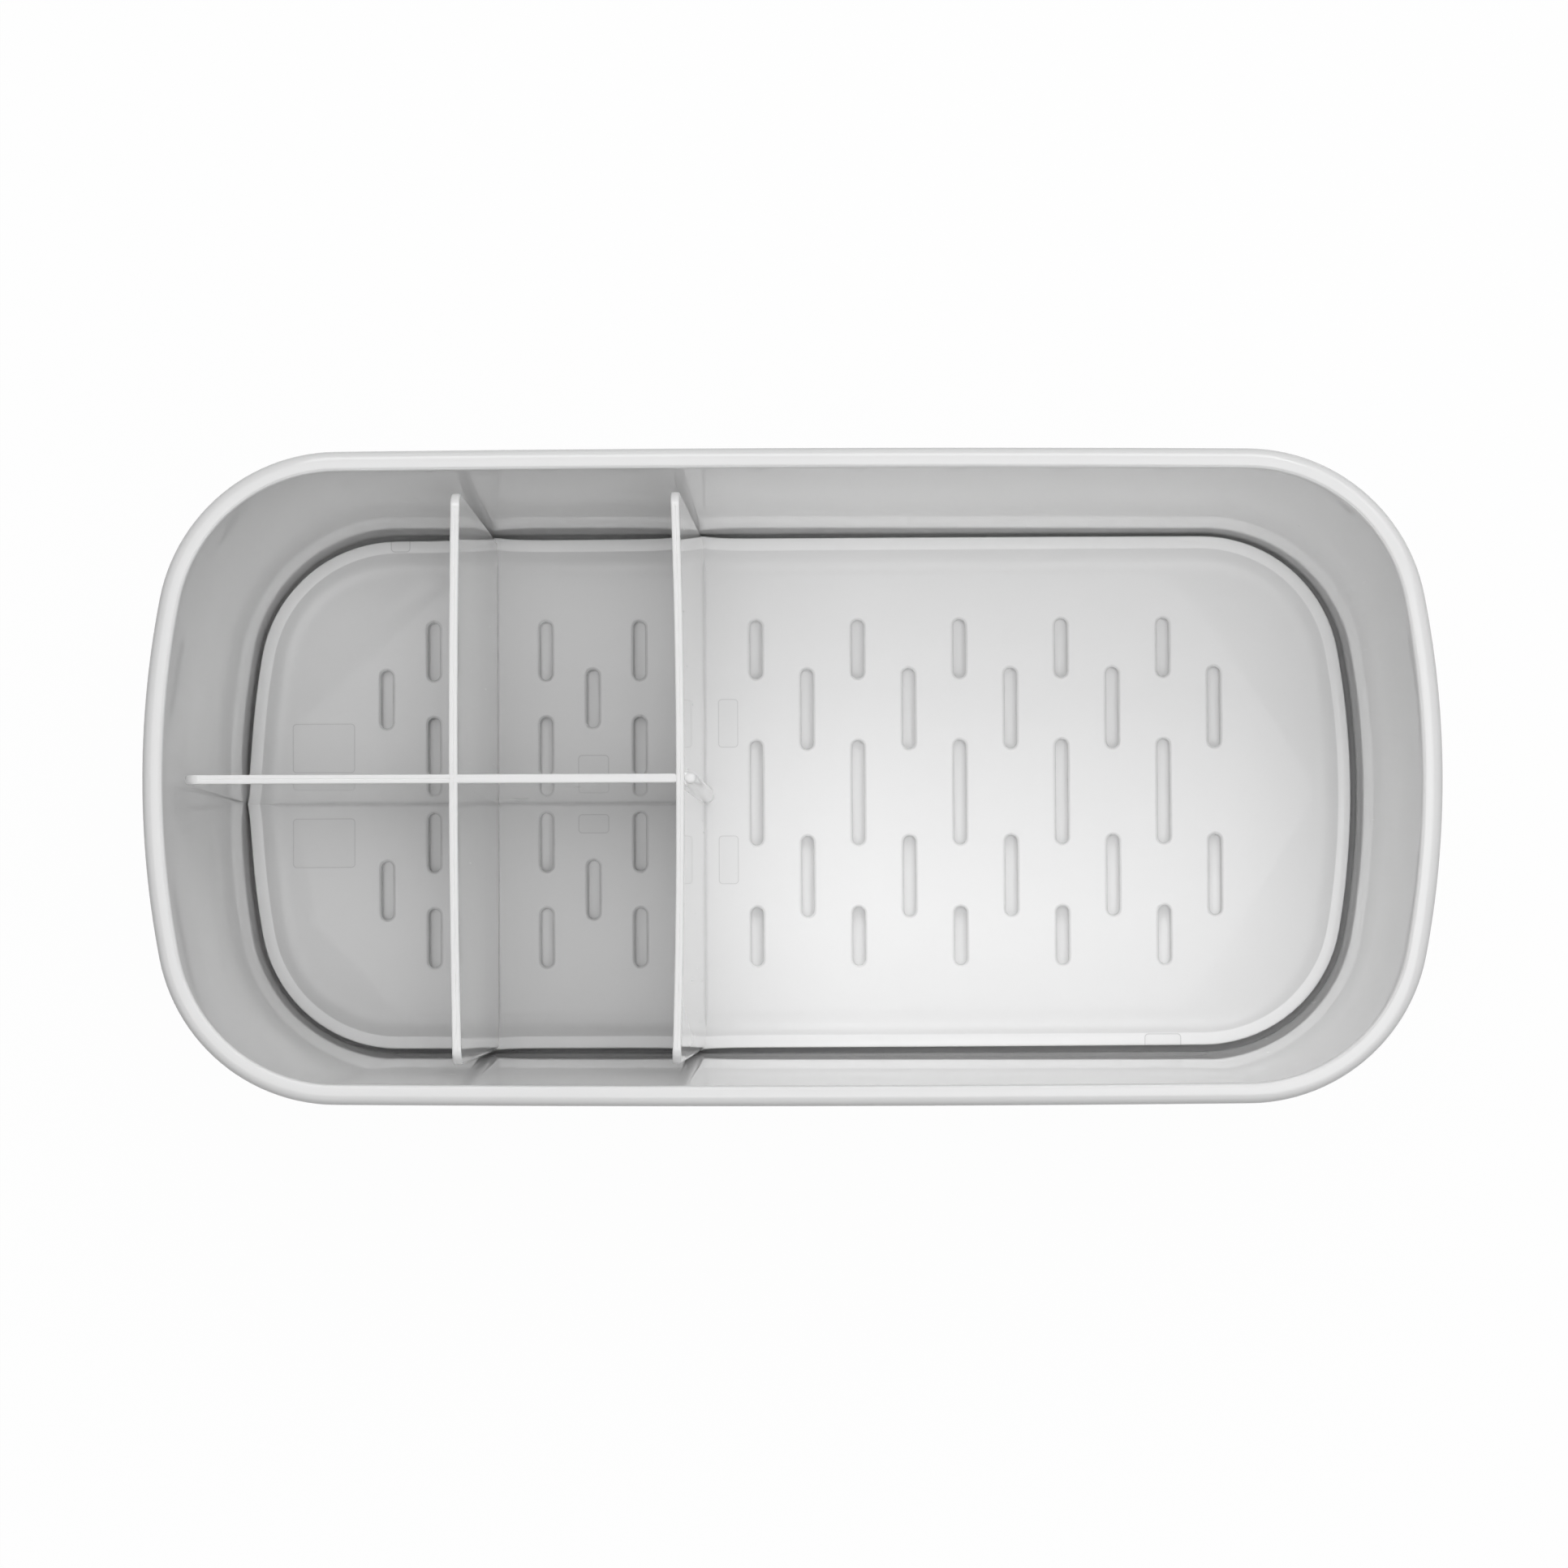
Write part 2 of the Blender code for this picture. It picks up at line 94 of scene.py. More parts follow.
GRAIN_BUMP = 0.35
FLOW_NOISE = (26.0, 3.0)
FLOW_RANGE = (0.35, 0.70)
GRAIN_NOISE = (1700.0, 2.0)
PEEL_NOISE = (210.0, 1.0)
SPECK_SCALE = 62.0
SPECK_RADIUS = (0.016, 0.008)
SPECK_CHOICE = (0.60, 0.64)
SCUFF_NOISE = (70.0, 4.0)
SCUFF_RANGE = (0.70, 0.76)
SCUFF_TURN = (0.3, 0.5, 0.7)
SCUFF_STRETCH = (1.0, 14.0, 1.0)


def blend(start, stop, share):
    return start + (stop - start) * share


def arc(z, out, radius, start, stop, steps=ROUND_STEPS):
    """Part of a circle in a section, as (height, offset) pairs: the centre plus the radius times the sine
    and the cosine of the angle."""
    turn = np.radians(np.linspace(start, stop, steps + 1))
    return np.stack([z + radius * np.sin(turn), out + radius * np.cos(turn)], axis=-1)


def plan_loops(half_length, half_width, end_radius, side_radius, corner_radius, steps):
    """Rounded rectangles of tangent arcs, one ring for each value of the sizes.

    The corner's centre is where two circles cross: one round the end arc's centre, of the end radius less
    the corner radius, and one round the side arc's centre, of the side radius less the corner radius. The
    stations are equal shares of half the end arc, of the corner arc and of half the side arc, and that
    quarter is mirrored into the other three. Gives points and outward normals, rings by stations by 2.
    """
    end_x = half_length - end_radius
    side_y = half_width - side_radius
    to_side = side_radius - corner_radius
    span = np.hypot(end_x, side_y)
    along = (to_side ** 2 - (end_radius - corner_radius) ** 2 + span ** 2) / (2.0 * span)
    across = np.sqrt(to_side ** 2 - along ** 2)
    corner_x = (along * end_x - across * side_y) / span
    corner_y = side_y - (along * side_y + across * end_x) / span
    end_turn = np.arctan2(corner_y, corner_x - end_x)
    side_turn = np.arctan2(corner_y - side_y, corner_x)
    zero = np.zeros_like(end_x)
    arcs = (
        (end_x, zero, end_radius, zero, end_turn, np.linspace(0.0, 1.0, steps[0] + 1)[:-1]),
        (corner_x, corner_y, corner_radius, end_turn, side_turn, np.linspace(0.0, 1.0, steps[1] + 1)[:-1]),
        (zero, side_y, side_radius, side_turn, zero + math.pi / 2.0, np.linspace(0.0, 1.0, steps[2] + 1)),
    )
    turn = np.hstack([blend(start[:, None], stop[:, None], share) for *_, start, stop, share in arcs])
    middle_x, middle_y, radius = (
        np.hstack([values[place][:, None] + 0.0 * values[5] for values in arcs]) for place in range(3)
    )
    normal_x = np.cos(turn)
    normal_y = np.sin(turn)
    quarter = (middle_x + radius * normal_x, middle_y + radius * normal_y, normal_x, normal_y)
    x, y, normal_x, normal_y = (
        np.hstack([q, sign_x * q[:, -2::-1], sign_x * sign_y * q[:, 1:], sign_y * q[:, -2:0:-1]])
        for q, sign_x, sign_y in zip(quarter, (-1, 1, -1, 1), (1, -1, 1, -1))
    )
    return np.stack([x, y], axis=-1), np.stack([normal_x, normal_y], axis=-1)


def wall_inset(height, inset, lean):
    """How far the wall has drawn in from the rim's inner edge at each height. Upwards from the lip, where
    that is the given inset, the wall keeps a steady lean, and a flare that grows with the cube of the
    height is added to it, so that the wall meets the rim."""
    share = (height - LIP_TOP) / (TUB_HEIGHT - LIP_TOP)
    steady = lean * (TUB_HEIGHT - LIP_TOP)
    return inset - steady * share - (inset - steady) * np.maximum(share, 0.0) ** 3


def wall_loops(height, steps):
    """Plan of the tub's inner wall at each height: the rim's plan less the rim's width, drawn in below it,
    with radii that blend from the rim's to those at the insert's lip."""
    share = (TUB_HEIGHT - height) / (TUB_HEIGHT - LIP_TOP)
    return plan_loops(
        RIM_HALF_LENGTH - RIM_WIDTH - wall_inset(height, LIP_END_INSET, END_LEAN),
        RIM_HALF_WIDTH - RIM_WIDTH - wall_inset(height, LIP_SIDE_INSET, SIDE_LEAN),
        blend(RIM_END_RADIUS - RIM_WIDTH, LIP_END_RADIUS, share),
        blend(RIM_SIDE_RADIUS, LIP_SIDE_RADIUS, share),
        blend(RIM_CORNER_RADIUS - RIM_WIDTH, LIP_CORNER_RADIUS, share),
        steps,
    )


def raise_loops(plan, height):
    """Rings of plan points with each ring's height added as the third coordinate."""
    z = np.broadcast_to(height[..., None, None], (*plan.shape[:-1], 1))
    return np.concatenate([plan, z], axis=-1)


def loft(name, loops):
    """Closed skins through rings of points, given as solids by rings by stations by 3, or as one solid.

    Neighbouring stations on neighbouring rings make a quad, and a flat face closes the first and the last
    ring. Rings run up the outside first, which turns every face outwards.
    """
    solids, rings, stations = loops.reshape(-1, *loops.shape[-3:]).shape[:3]
    corner = np.arange(solids * rings * stations).reshape(solids, rings, stations)
    following = np.roll(corner, -1, axis=2)
    quads = np.stack([corner[:, :-1], following[:, :-1], following[:, 1:], corner[:, 1:]], axis=-1)
    caps = np.concatenate([corner[:, 0, ::-1], corner[:, -1]])
    mesh = bpy.data.meshes.new(name)
    mesh.from_pydata(loops.reshape(-1, 3).tolist(), [], quads.reshape(-1, 4).tolist() + caps.tolist())
    smooth = np.ones(len(mesh.polygons), dtype=bool)
    smooth[-len(caps):] = False
    mesh.polygons.foreach_set("use_smooth", smooth)
    piece = bpy.data.objects.new(name, mesh)
    bpy.context.scene.collection.objects.link(piece)
    return piece


def combine(piece, tool, operation):
    """Cut the tool from the piece or join it on, keep the result as the piece's mesh and drop the tool."""
    modifier = piece.modifiers.new(tool.name, "BOOLEAN")
    modifier.operation = operation
    modifier.solver = "EXACT"
    modifier.object = tool
    bpy.context.view_layer.update()
    shaped = piece.evaluated_get(bpy.context.evaluated_depsgraph_get())
    piece.data = bpy.data.meshes.new_from_object(shaped)
    piece.modifiers.clear()
    bpy.data.objects.remove(tool, do_unlink=True)


class Wire:
    """One value in a material. Arithmetic on it adds Math nodes."""

    def __init__(self, finish, socket):
        self.finish = finish
        self.socket = socket

    def maths(self, operation, *values):
        return self.finish.add("ShaderNodeMath", {"operation": operation}, dict(enumerate(values)))

    def __add__(self, other):
        return self.maths("ADD", self, other)

    def __sub__(self, other):
        return self.maths("SUBTRACT", self, other)

    def __rsub__(self, other):
        return self.maths("SUBTRACT", other, self)

    def __mul__(self, other):
        return self.maths("MULTIPLY", self, other)

    def __pow__(self, other):
        return self.maths("POWER", self, other)

    def __abs__(self):
        return self.maths("ABSOLUTE", self)

    __radd__ = __add__
    __rmul__ = __mul__

    def least(self, other):
        return self.maths("MINIMUM", self, other)

    def most(self, other):
        return self.maths("MAXIMUM", self, other)

    def rise(self, start, stop):
        """0 at start, 1 at stop, and smooth between them."""
        return self.finish.add(
            "ShaderNodeMapRange",
            {"interpolation_type": "SMOOTHSTEP"},
            {"Value": self, "From Min": start, "From Max": stop},
        )


class Finish:
    """The nodes of a material or of the world, which are added one at a time."""

    def __init__(self, owner):
        owner.use_nodes = True
        self.owner = owner
        self.nodes = owner.node_tree.nodes
        self.links = owner.node_tree.links

    def plug(self, socket, value):
        if isinstance(value, Wire):
            self.links.new(value.socket, socket)
        else:
            socket.default_value = value

    def add(self, kind, settings, inputs, output=0):
        """Add a node of a type: first its settings, then its sockets' values or links, by name or number."""
        node = self.nodes.new(kind)
        for setting, value in settings.items():
            setattr(node, setting, value)
        for socket, value in inputs.items():
            self.plug(node.inputs[socket], value)
        return Wire(self, node.outputs[output])

    def noise(self, place, scale, detail):
        """Noise of a scale in cells to the metre, with finer layers added to it by the detail."""
        return self.add("ShaderNodeTexNoise", {}, {"Vector": place, "Scale": scale, "Detail": detail})

    def mix(self, share, first, second):
        return self.add("ShaderNodeMix", {"data_type": "RGBA"}, {0: share, 6: first, 7: second}, 2)

    def bump(self, strength, height):
        """A normal from heights in millimetres."""
        return self.add("ShaderNodeBump", {}, {"Strength": strength, "Distance": MM, "Height": height})

    def surface(self, **inputs):
        """Set the shader's sockets, named with underscores for spaces."""
        shader = self.nodes["Principled BSDF"]
        for socket, value in inputs.items():
            self.plug(shader.inputs[socket.replace("_", " ")], value)


def moulded_plastic(name, white, etched_and_shaded=None, marks=None):
    """Glossy white plastic with faint flow clouds, fine mould grain, a few dark specks and fine scuffs.

    White is the clean plastic's colour outside the etching. Etched_and_shaded and marks take the finish and
    its coordinates: etched_and_shaded gives a mask of where the mould had an etching, which is satin and
    grained and takes a darker white as painted shade, so that the white outside it stands as painted light,
    and marks a mask of the lines that the mould's parts leave.
    """
    finish = Finish(bpy.data.materials.new(name))
    place = finish.add("ShaderNodeTexCoord", {}, {}, "Object")
    flow = finish.noise(place, *FLOW_NOISE)
    texture = finish.noise(place, *GRAIN_NOISE)
    peel = finish.noise(place, *PEEL_NOISE)
    speck = finish.add("ShaderNodeTexVoronoi", {}, {"Vector": place, "Scale": SPECK_SCALE})
    chosen = finish.add("ShaderNodeTexVoronoi", {}, {"Vector": place, "Scale": SPECK_SCALE}, "Color")
    specks = speck.rise(*SPECK_RADIUS) * chosen.rise(*SPECK_CHOICE)
    stretched = finish.add(
        "ShaderNodeMapping", {}, {"Vector": place, "Rotation": SCUFF_TURN, "Scale": SCUFF_STRETCH}
    )
    scuffs = finish.noise(stretched, *SCUFF_NOISE).rise(*SCUFF_RANGE)
    colour = finish.mix(flow.rise(*FLOW_RANGE) * WORN_SHARE, white, WORN_WHITE)
    colour = finish.mix(specks * SPECK_SHARE, colour, SPECK_GREY)
    roughness = POLISH + flow * FLOW_BLUR + scuffs * SCUFF_BLUR
    grain = texture + peel * PEEL_HEIGHT
    height = grain * POLISH_GRAIN
    if etched_and_shaded:
        zone = etched_and_shaded(finish, place)
        # Painted shade and light: the etched floor takes a darker white, and everything outside it keeps the
        # lighter white, which lifts the shade in the slots, on the lip's top and on the dividers.
        colour = finish.mix(zone, colour, ETCHED_SHADED_WHITE)
        roughness = blend(roughness, ETCHED_GLOSS, zone)
        height = blend(height, grain * ETCHED_GRAIN, zone)
    if marks:
        lines = marks(finish, place)
        colour = finish.mix(lines, colour, WITNESS_GREY)
        height = height - lines * WITNESS_DEPTH
    finish.surface(Base_Color=colour, Roughness=roughness, Normal=finish.bump(GRAIN_BUMP, height))
    return finish


def dress(piece, finish):
    """Give a piece its one material, and crisp edges where its faces meet at more than the crisp angle."""
    piece.data.materials.clear()
    piece.data.materials.append(finish.owner)
    piece.data.set_sharp_from_angle(angle=math.radians(CRISP_EDGE))


band = TUB_HEIGHT - RIM_BAND_HEIGHT
base = TUB_FLOOR_TOP + INNER_FLOOR_ROUND
straight_wall = np.linspace(OUTER_WALL_FOOT, band, OUTER_WALL_RINGS)
outer_wall = np.vstack([
    [(UNDERSIDE, WALL - OUTER_FLOOR_ROUND - SUPPORT)],
    arc(UNDERSIDE + OUTER_FLOOR_ROUND, WALL - OUTER_FLOOR_ROUND, OUTER_FLOOR_ROUND, -90.0, 0.0),
    np.stack([straight_wall, np.full(OUTER_WALL_RINGS, WALL)], axis=-1),
])
rim = np.vstack([
    [(band, WALL + SUPPORT)],
    arc(band + RIM_BAND_ROUND, RIM_WIDTH - RIM_BAND_ROUND, RIM_BAND_ROUND, -90.0, 0.0),
    arc(TUB_HEIGHT - RIM_OUTER_ROUND, RIM_WIDTH - RIM_OUTER_ROUND, RIM_OUTER_ROUND, 0.0, 90.0),
])
round_middle = np.array([TUB_HEIGHT - RIM_INNER_ROUND, RIM_INNER_ROUND])
inner_round = arc(*round_middle, RIM_INNER_ROUND, 90.0, 180.0, RIM_INNER_STEPS)
hairline = inner_round[HAIRLINE_RINGS]
hairline -= RIM_HAIRLINE * (hairline - round_middle) / RIM_INNER_ROUND
flared_wall = np.linspace(TUB_HEIGHT - INNER_WALL_DROP, base + SUPPORT, INNER_WALL_RINGS)
inner_wall = np.vstack([
    inner_round,
    np.stack([flared_wall, np.zeros(INNER_WALL_RINGS)], axis=-1),
    arc(base, -INNER_FLOOR_ROUND, INNER_FLOOR_ROUND, 0.0, -90.0),
    [(TUB_FLOOR_TOP, -INNER_FLOOR_ROUND - SUPPORT)],
])
section = np.vstack([outer_wall, rim, inner_wall])
plan_height = np.concatenate([outer_wall[:, 0], np.full(len(rim), TUB_HEIGHT), inner_wall[:, 0]])
points, normals = wall_loops(plan_height, TUB_STEPS)
tub = loft("caddy_tub", raise_loops(points + normals * section[:, 1, None, None], section[:, 0]))

# Rubber feet: four moulded discs of grey rubber with a rounded tread edge, pressed into the recesses under
# the tub with a hair's gap round them.
FOOT_RADIUS = 8.0 * MM
FOOT_SEAT = 0.3 * MM
FOOT_RECESS = 1.0 * MM
FOOT_ROUND = 0.5 * MM
FOOT_TOP_ROUND = 0.2 * MM
FOOT_DISH = 5.2 * MM
DISH_DEPTH = 0.35 * MM
DISH_FLOOR_INSET = 0.6 * MM
DISH_EDGE = 0.3 * MM
CIRCLE_STEPS = 64
RUBBER = (0.62, 0.62, 0.62, 1.0)
RUBBER_DUST = (0.72, 0.72, 0.71, 1.0)
RUBBER_ROUGHNESS = 0.62
RUBBER_BUMP = 0.5
PEBBLE_NOISE = (1400.0, 3.0)
PEBBLE_HEIGHT = 0.15
PEBBLE_BLUR = 0.2
DUST_NOISE = (180.0, 4.0)
DUST_RANGE = (0.45, 0.75)
FEET = ("foot_front_left", "foot_front_right", "foot_back_left", "foot_back_right")


def turned_loops(profile, centre):
    """Rings of a round part: a profile of (height, radius) pairs carried round an upright axis."""
    turn = np.linspace(0.0, 2.0 * math.pi, CIRCLE_STEPS, endpoint=False)
    ring = np.stack([np.cos(turn), np.sin(turn)], axis=-1)
    return raise_loops(centre + profile[:, 1, None, None] * ring, profile[:, 0])


def foot_rubber():
    """Matte rubber with a pebbled surface and pale dust in its hollows."""
    finish = Finish(bpy.data.materials.new("caddy_foot_rubber"))
    place = finish.add("ShaderNodeTexCoord", {}, {}, "Object")
    pebble = finish.noise(place, *PEBBLE_NOISE)
    dust = finish.noise(place, *DUST_NOISE)
    finish.surface(
        Base_Color=finish.mix(dust.rise(*DUST_RANGE), RUBBER, RUBBER_DUST),
        Roughness=RUBBER_ROUGHNESS + pebble * PEBBLE_BLUR,
        Normal=finish.bump(RUBBER_BUMP, pebble * PEBBLE_HEIGHT),
    )
    return finish


rubber = foot_rubber()
foot_top = UNDERSIDE + FOOT_RECESS - FOOT_SEAT
foot_profile = np.vstack([
    [(DISH_DEPTH, FOOT_DISH - DISH_FLOOR_INSET), (DISH_DEPTH, FOOT_DISH), (0.0, FOOT_DISH + DISH_EDGE)],
    arc(FOOT_ROUND, FOOT_RADIUS - FOOT_ROUND, FOOT_ROUND, -90.0, 0.0),
    arc(foot_top - FOOT_TOP_ROUND, FOOT_RADIUS - FOOT_TOP_ROUND, FOOT_TOP_ROUND, 0.0, 90.0),
])
foot_centres = {}
for name in FEET:
    low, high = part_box(name)
    foot_centres[name] = np.array([(low.x + high.x) / 2.0, (low.y + high.y) / 2.0])
    foot = loft(name + "_rubber", turned_loops(foot_profile, foot_centres[name]))
    dress(foot, rubber)
    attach(foot, "tub")
    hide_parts(name)

recess_profile = np.array([
    (0.0, FOOT_RADIUS + FOOT_SEAT),
    (UNDERSIDE + FOOT_RECESS, FOOT_RADIUS + FOOT_SEAT),
])
recess_loops = [turned_loops(recess_profile, centre) for centre in foot_centres.values()]
combine(tub, loft("recesses", np.stack(recess_loops)), "DIFFERENCE")
dress(tub, moulded_plastic("caddy_tub_plastic", TUB_WHITE))
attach(tub, "tub")
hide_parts("tub")

# Floor plate: the base of the insert, moulded in the same white plastic, with a raised lip that follows the
# tub's wall and swells out towards it at each divider's foot. Staggered drain slots run through it, each in
# a collar that reaches down to the tub's floor, and short legs carry it.
INSERT_TURN = 0.0031
INSERT_SHIFT_X = -0.20 * MM
INSERT_SHIFT_Y = 0.11 * MM
PLATE_UNDERSIDE = 6.5 * MM
PLATE_TOP = 8.5 * MM
PLATE_STEPS = (40, 18, 70)
JOIN = 1.0 * MM
LIP_GAP = 1.30 * MM
LIP_WIDTH = 3.05 * MM
LIP_ROUND = 0.35 * MM
LIP_EDGE_TURN = 125.0
SWEEP_REACH = 5.5 * MM
SWEEP_POWER = 2.5
SWEEP_STEPS = 16
SWELL_BACK = 0.60 * MM
SWELL_FRONT = 0.30 * MM
SWELL_LEFT = 0.70 * MM
SWELL_FADE = 3.3 * MM
END_SWELL_START = 30.0 * MM
CROSS_DIVIDER_X = (-72.1 * MM, -24.5 * MM)
CROSS_DIVIDER_FOOT = 5.4 * MM
LONG_DIVIDER_FOOT = 4.0 * MM
SLOT_WIDTH = 3.55 * MM
SLOT_EDGE = 0.285 * MM
SLOT_ROUND = 0.70 * MM
SLOT_FOOT = 0.22 * MM
SLOT_COVE = 0.25 * MM
SLOT_COVE_START = -88.0
SLOT_ROUND_STOP = 96.0
COLLAR = 1.2 * MM
COLLAR_GAP = 0.05 * MM
SLOT_SHORT = 14.2 * MM
SLOT_MEDIUM = 19.3 * MM
SLOT_LONG = 24.8 * MM
FOUR_SLOT_COLUMNS = np.array([-84.3, -58.4, -36.8]) * MM
TWO_SLOT_COLUMNS = np.array([-95.2, -47.6]) * MM
LARGE_COLUMNS = (-9.9 + 11.72 * np.arange(10)) * MM
ROW_NEAR = 11.05 * MM
ROW_MIDDLE = 22.05 * MM
ROW_MEDIUM = 19.3 * MM
ROW_FAR = 33.1 * MM
SEAT_GAP = 0.3 * MM
LEG_RADIUS = 3.0 * MM
LEG_END_INSET = 27.0 * MM
LEG_SIDE_INSET = 11.0 * MM
LEGS_A_SIDE = 4
# Painted light: the polished parts are painted a lighter white than the etched floor, which lifts the shade
# in the slots, on the lip's top and on the dividers.
POLISHED_LIT_WHITE = (0.97, 0.97, 0.97, 1.0)
ETCHED_SHADED_WHITE = (0.89, 0.89, 0.89, 1.0)
ETCHED_GLOSS = 0.30
ETCHED_GRAIN = 0.012
ETCHED_TOP = 9.90 * MM
ETCHED_TOP_FADE = 0.03 * MM
ETCHED_FOOT = 8.0 * MM
ETCHED_FOOT_FADE = 0.3 * MM
WITNESS_GREY = (0.72, 0.72, 0.72, 1.0)
WITNESS_SHADE = 0.12
WITNESS_DEPTH = 0.04
WITNESS_ROUND = 0.8 * MM
WITNESS_LINE = 0.16 * MM
WITNESS_CORE = 0.25 * WITNESS_LINE
WITNESS_TOP = 10.1 * MM
WITNESS_TOP_FADE = 0.1 * MM
WITNESS_MARKS = np.array([
    (-109.8, 10.85, 14.2, 11.2),
    (-109.8, -11.05, 14.2, 11.2),
    (-47.5, 4.4, 6.9, 8.9),
    (-47.5, -6.9, 6.9, 4.2),
    (-16.4, 16.1, 4.4, 11.0),
    (-16.4, -15.4, 4.4, 11.0),
    (-91.8, 57.65, 4.3, 3.1),
    (83.2, -57.8, 8.2, 3.6),
]) * MM


def settle(loops):
    """The insert's rings where it sits in the tub: turned by a slight angle and shifted within its gap."""
    cosine = math.cos(INSERT_TURN)
    sine = math.sin(INSERT_TURN)
    x, y, z = np.moveaxis(loops, -1, 0)
    turned_x = x * cosine - y * sine
    turned_y = x * sine + y * cosine
    return np.stack([turned_x + INSERT_SHIFT_X, turned_y + INSERT_SHIFT_Y, z], axis=-1)


def swell(points):
    """How far the lip swells towards the wall: most beside a divider's foot, and fading exponentially."""
    x, y = np.moveaxis(points, -1, 0)
    first, second = CROSS_DIVIDER_X
    beside_cross = np.minimum(abs(x - first), abs(x - second)) - CROSS_DIVIDER_FOOT / 2.0
    beside_long = abs(y) - LONG_DIVIDER_FOOT / 2.0
    at_end = x < first - END_SWELL_START
    distance = np.where(at_end, beside_long, beside_cross)
    size = np.where(at_end, SWELL_LEFT, np.where(y > 0.0, SWELL_BACK, SWELL_FRONT))
    return size * np.exp(-np.maximum(distance, 0.0) / SWELL_FADE)


def bar_plans(start, stop, half_width, side_steps=1, roundness=1.0, end_steps=12):
    """Plans of bars with rounded ends, as (along, across) pairs.

    Two quarter circles, of the half width times the roundness, run round the far end, a straight side comes
    back, the near end follows in the same way and a straight side goes out again. Start, stop, half width
    and roundness have one value for each ring.
    """
    start, stop, half_width, roundness = (
        value[..., None] for value in np.broadcast_arrays(start, stop, half_width, roundness)
    )
    turn = np.linspace(-math.pi / 2.0, math.pi / 2.0, end_steps + 1)
    side_of_turn = np.sign(np.arange(end_steps + 1) - end_steps // 2)
    share = np.linspace(0.0, 1.0, side_steps + 1)[1:-1]
    radius = half_width * roundness
    far = stop - radius
    near = start + radius
    bulge = radius * np.cos(turn)
    sweep = radius * np.sin(turn) + (half_width - radius) * side_of_turn
    side = half_width + 0.0 * share
    back = blend(far, near, share)
    out = blend(near, far, share)
    along = np.concatenate([far + bulge, back, near - bulge, out], axis=-1)
    across = np.concatenate([sweep, side, -sweep, -side], axis=-1)
    return np.stack([along, across], axis=-1)


def slot_table():
    """Centre and length of every drain slot, whose rows and lengths alternate from column to column."""
    rows = [(FOUR_SLOT_COLUMNS, row, SLOT_SHORT) for row in (-ROW_FAR, -ROW_NEAR, ROW_NEAR, ROW_FAR)]
    rows += [(TWO_SLOT_COLUMNS, row, SLOT_SHORT) for row in (-ROW_MIDDLE, ROW_MIDDLE)]
    rows += [(LARGE_COLUMNS[::2], row, SLOT_SHORT) for row in (-ROW_FAR, ROW_FAR)]
    rows += [(LARGE_COLUMNS[::2], 0.0, SLOT_LONG)]
    rows += [(LARGE_COLUMNS[1::2], row, SLOT_MEDIUM) for row in (-ROW_MEDIUM, ROW_MEDIUM)]
    return np.array([(x, row, length) for columns, row, length in rows for x in columns])


def slot_loops(table, flare):
    """Upright bars on the slots' outlines, spread at each height by the second value of the flare."""
    x, y, length = table.T[:, :, None]
    height, spread = flare.T
    reach = length / 2.0 + spread
    along, across = np.moveaxis(bar_plans(-reach, reach, SLOT_WIDTH / 2.0 + spread), -1, 0)
    outline = np.stack([x[..., None] - across, y[..., None] + along], axis=-1)
    return settle(raise_loops(outline, height))


def height_of(finish, place):
    """Height above the surface that the caddy stands on, in the piece's own coordinates."""
    return finish.add("ShaderNodeSeparateXYZ", {}, {0: place}, "Z")


def etched_floor_and_painted_shade(finish, place):
    """1 from the slots' upper edges to just below the top of the lip. What the polished pins and blades of
    the mould have shaped stays polished: the slots, the lip's top and the dividers."""
    # Painted shade and light: this mask also gives the floor inside it a darker white. The slots, the lip's
    # top and the dividers outside it stay lighter, which lifts their shade.
    height = height_of(finish, place)
    below_top = height.rise(ETCHED_TOP + ETCHED_TOP_FADE, ETCHED_TOP)
    return below_top * height.rise(ETCHED_FOOT, ETCHED_FOOT + ETCHED_FOOT_FADE)


def witness_lines(finish, place):
    """Outlines of the mould's inserts: where the distance to a rounded rectangle is near zero. Inside each
    the plastic is a shade darker, and nothing above the lip's top is marked."""
    straight = finish.add(
        "ShaderNodeMapping",
        {},
        {
            "Vector": place,
            "Location": (-INSERT_SHIFT_X, -INSERT_SHIFT_Y, 0.0),
            "Rotation": (0.0, 0.0, -INSERT_TURN),
        },
    )
    x, y = (finish.add("ShaderNodeSeparateXYZ", {}, {0: straight}, axis) for axis in "XY")
    lines = None
    for centre_x, centre_y, size_x, size_y in WITNESS_MARKS.tolist():
        past_x = abs(x - centre_x) - (size_x / 2.0 - WITNESS_ROUND)
        past_y = abs(y - centre_y) - (size_y / 2.0 - WITNESS_ROUND)
        outside = (past_x.most(0.0) ** 2.0 + past_y.most(0.0) ** 2.0) ** 0.5
        beyond = outside + past_x.most(past_y).least(0.0) - WITNESS_ROUND
        shade = beyond.rise(0.0, -WITNESS_LINE) * WITNESS_SHADE
        line = abs(beyond).rise(WITNESS_LINE, WITNESS_CORE).most(shade)
        lines = lines.most(line) if lines else line
    return lines * height_of(finish, place).rise(WITNESS_TOP + WITNESS_TOP_FADE, WITNESS_TOP)


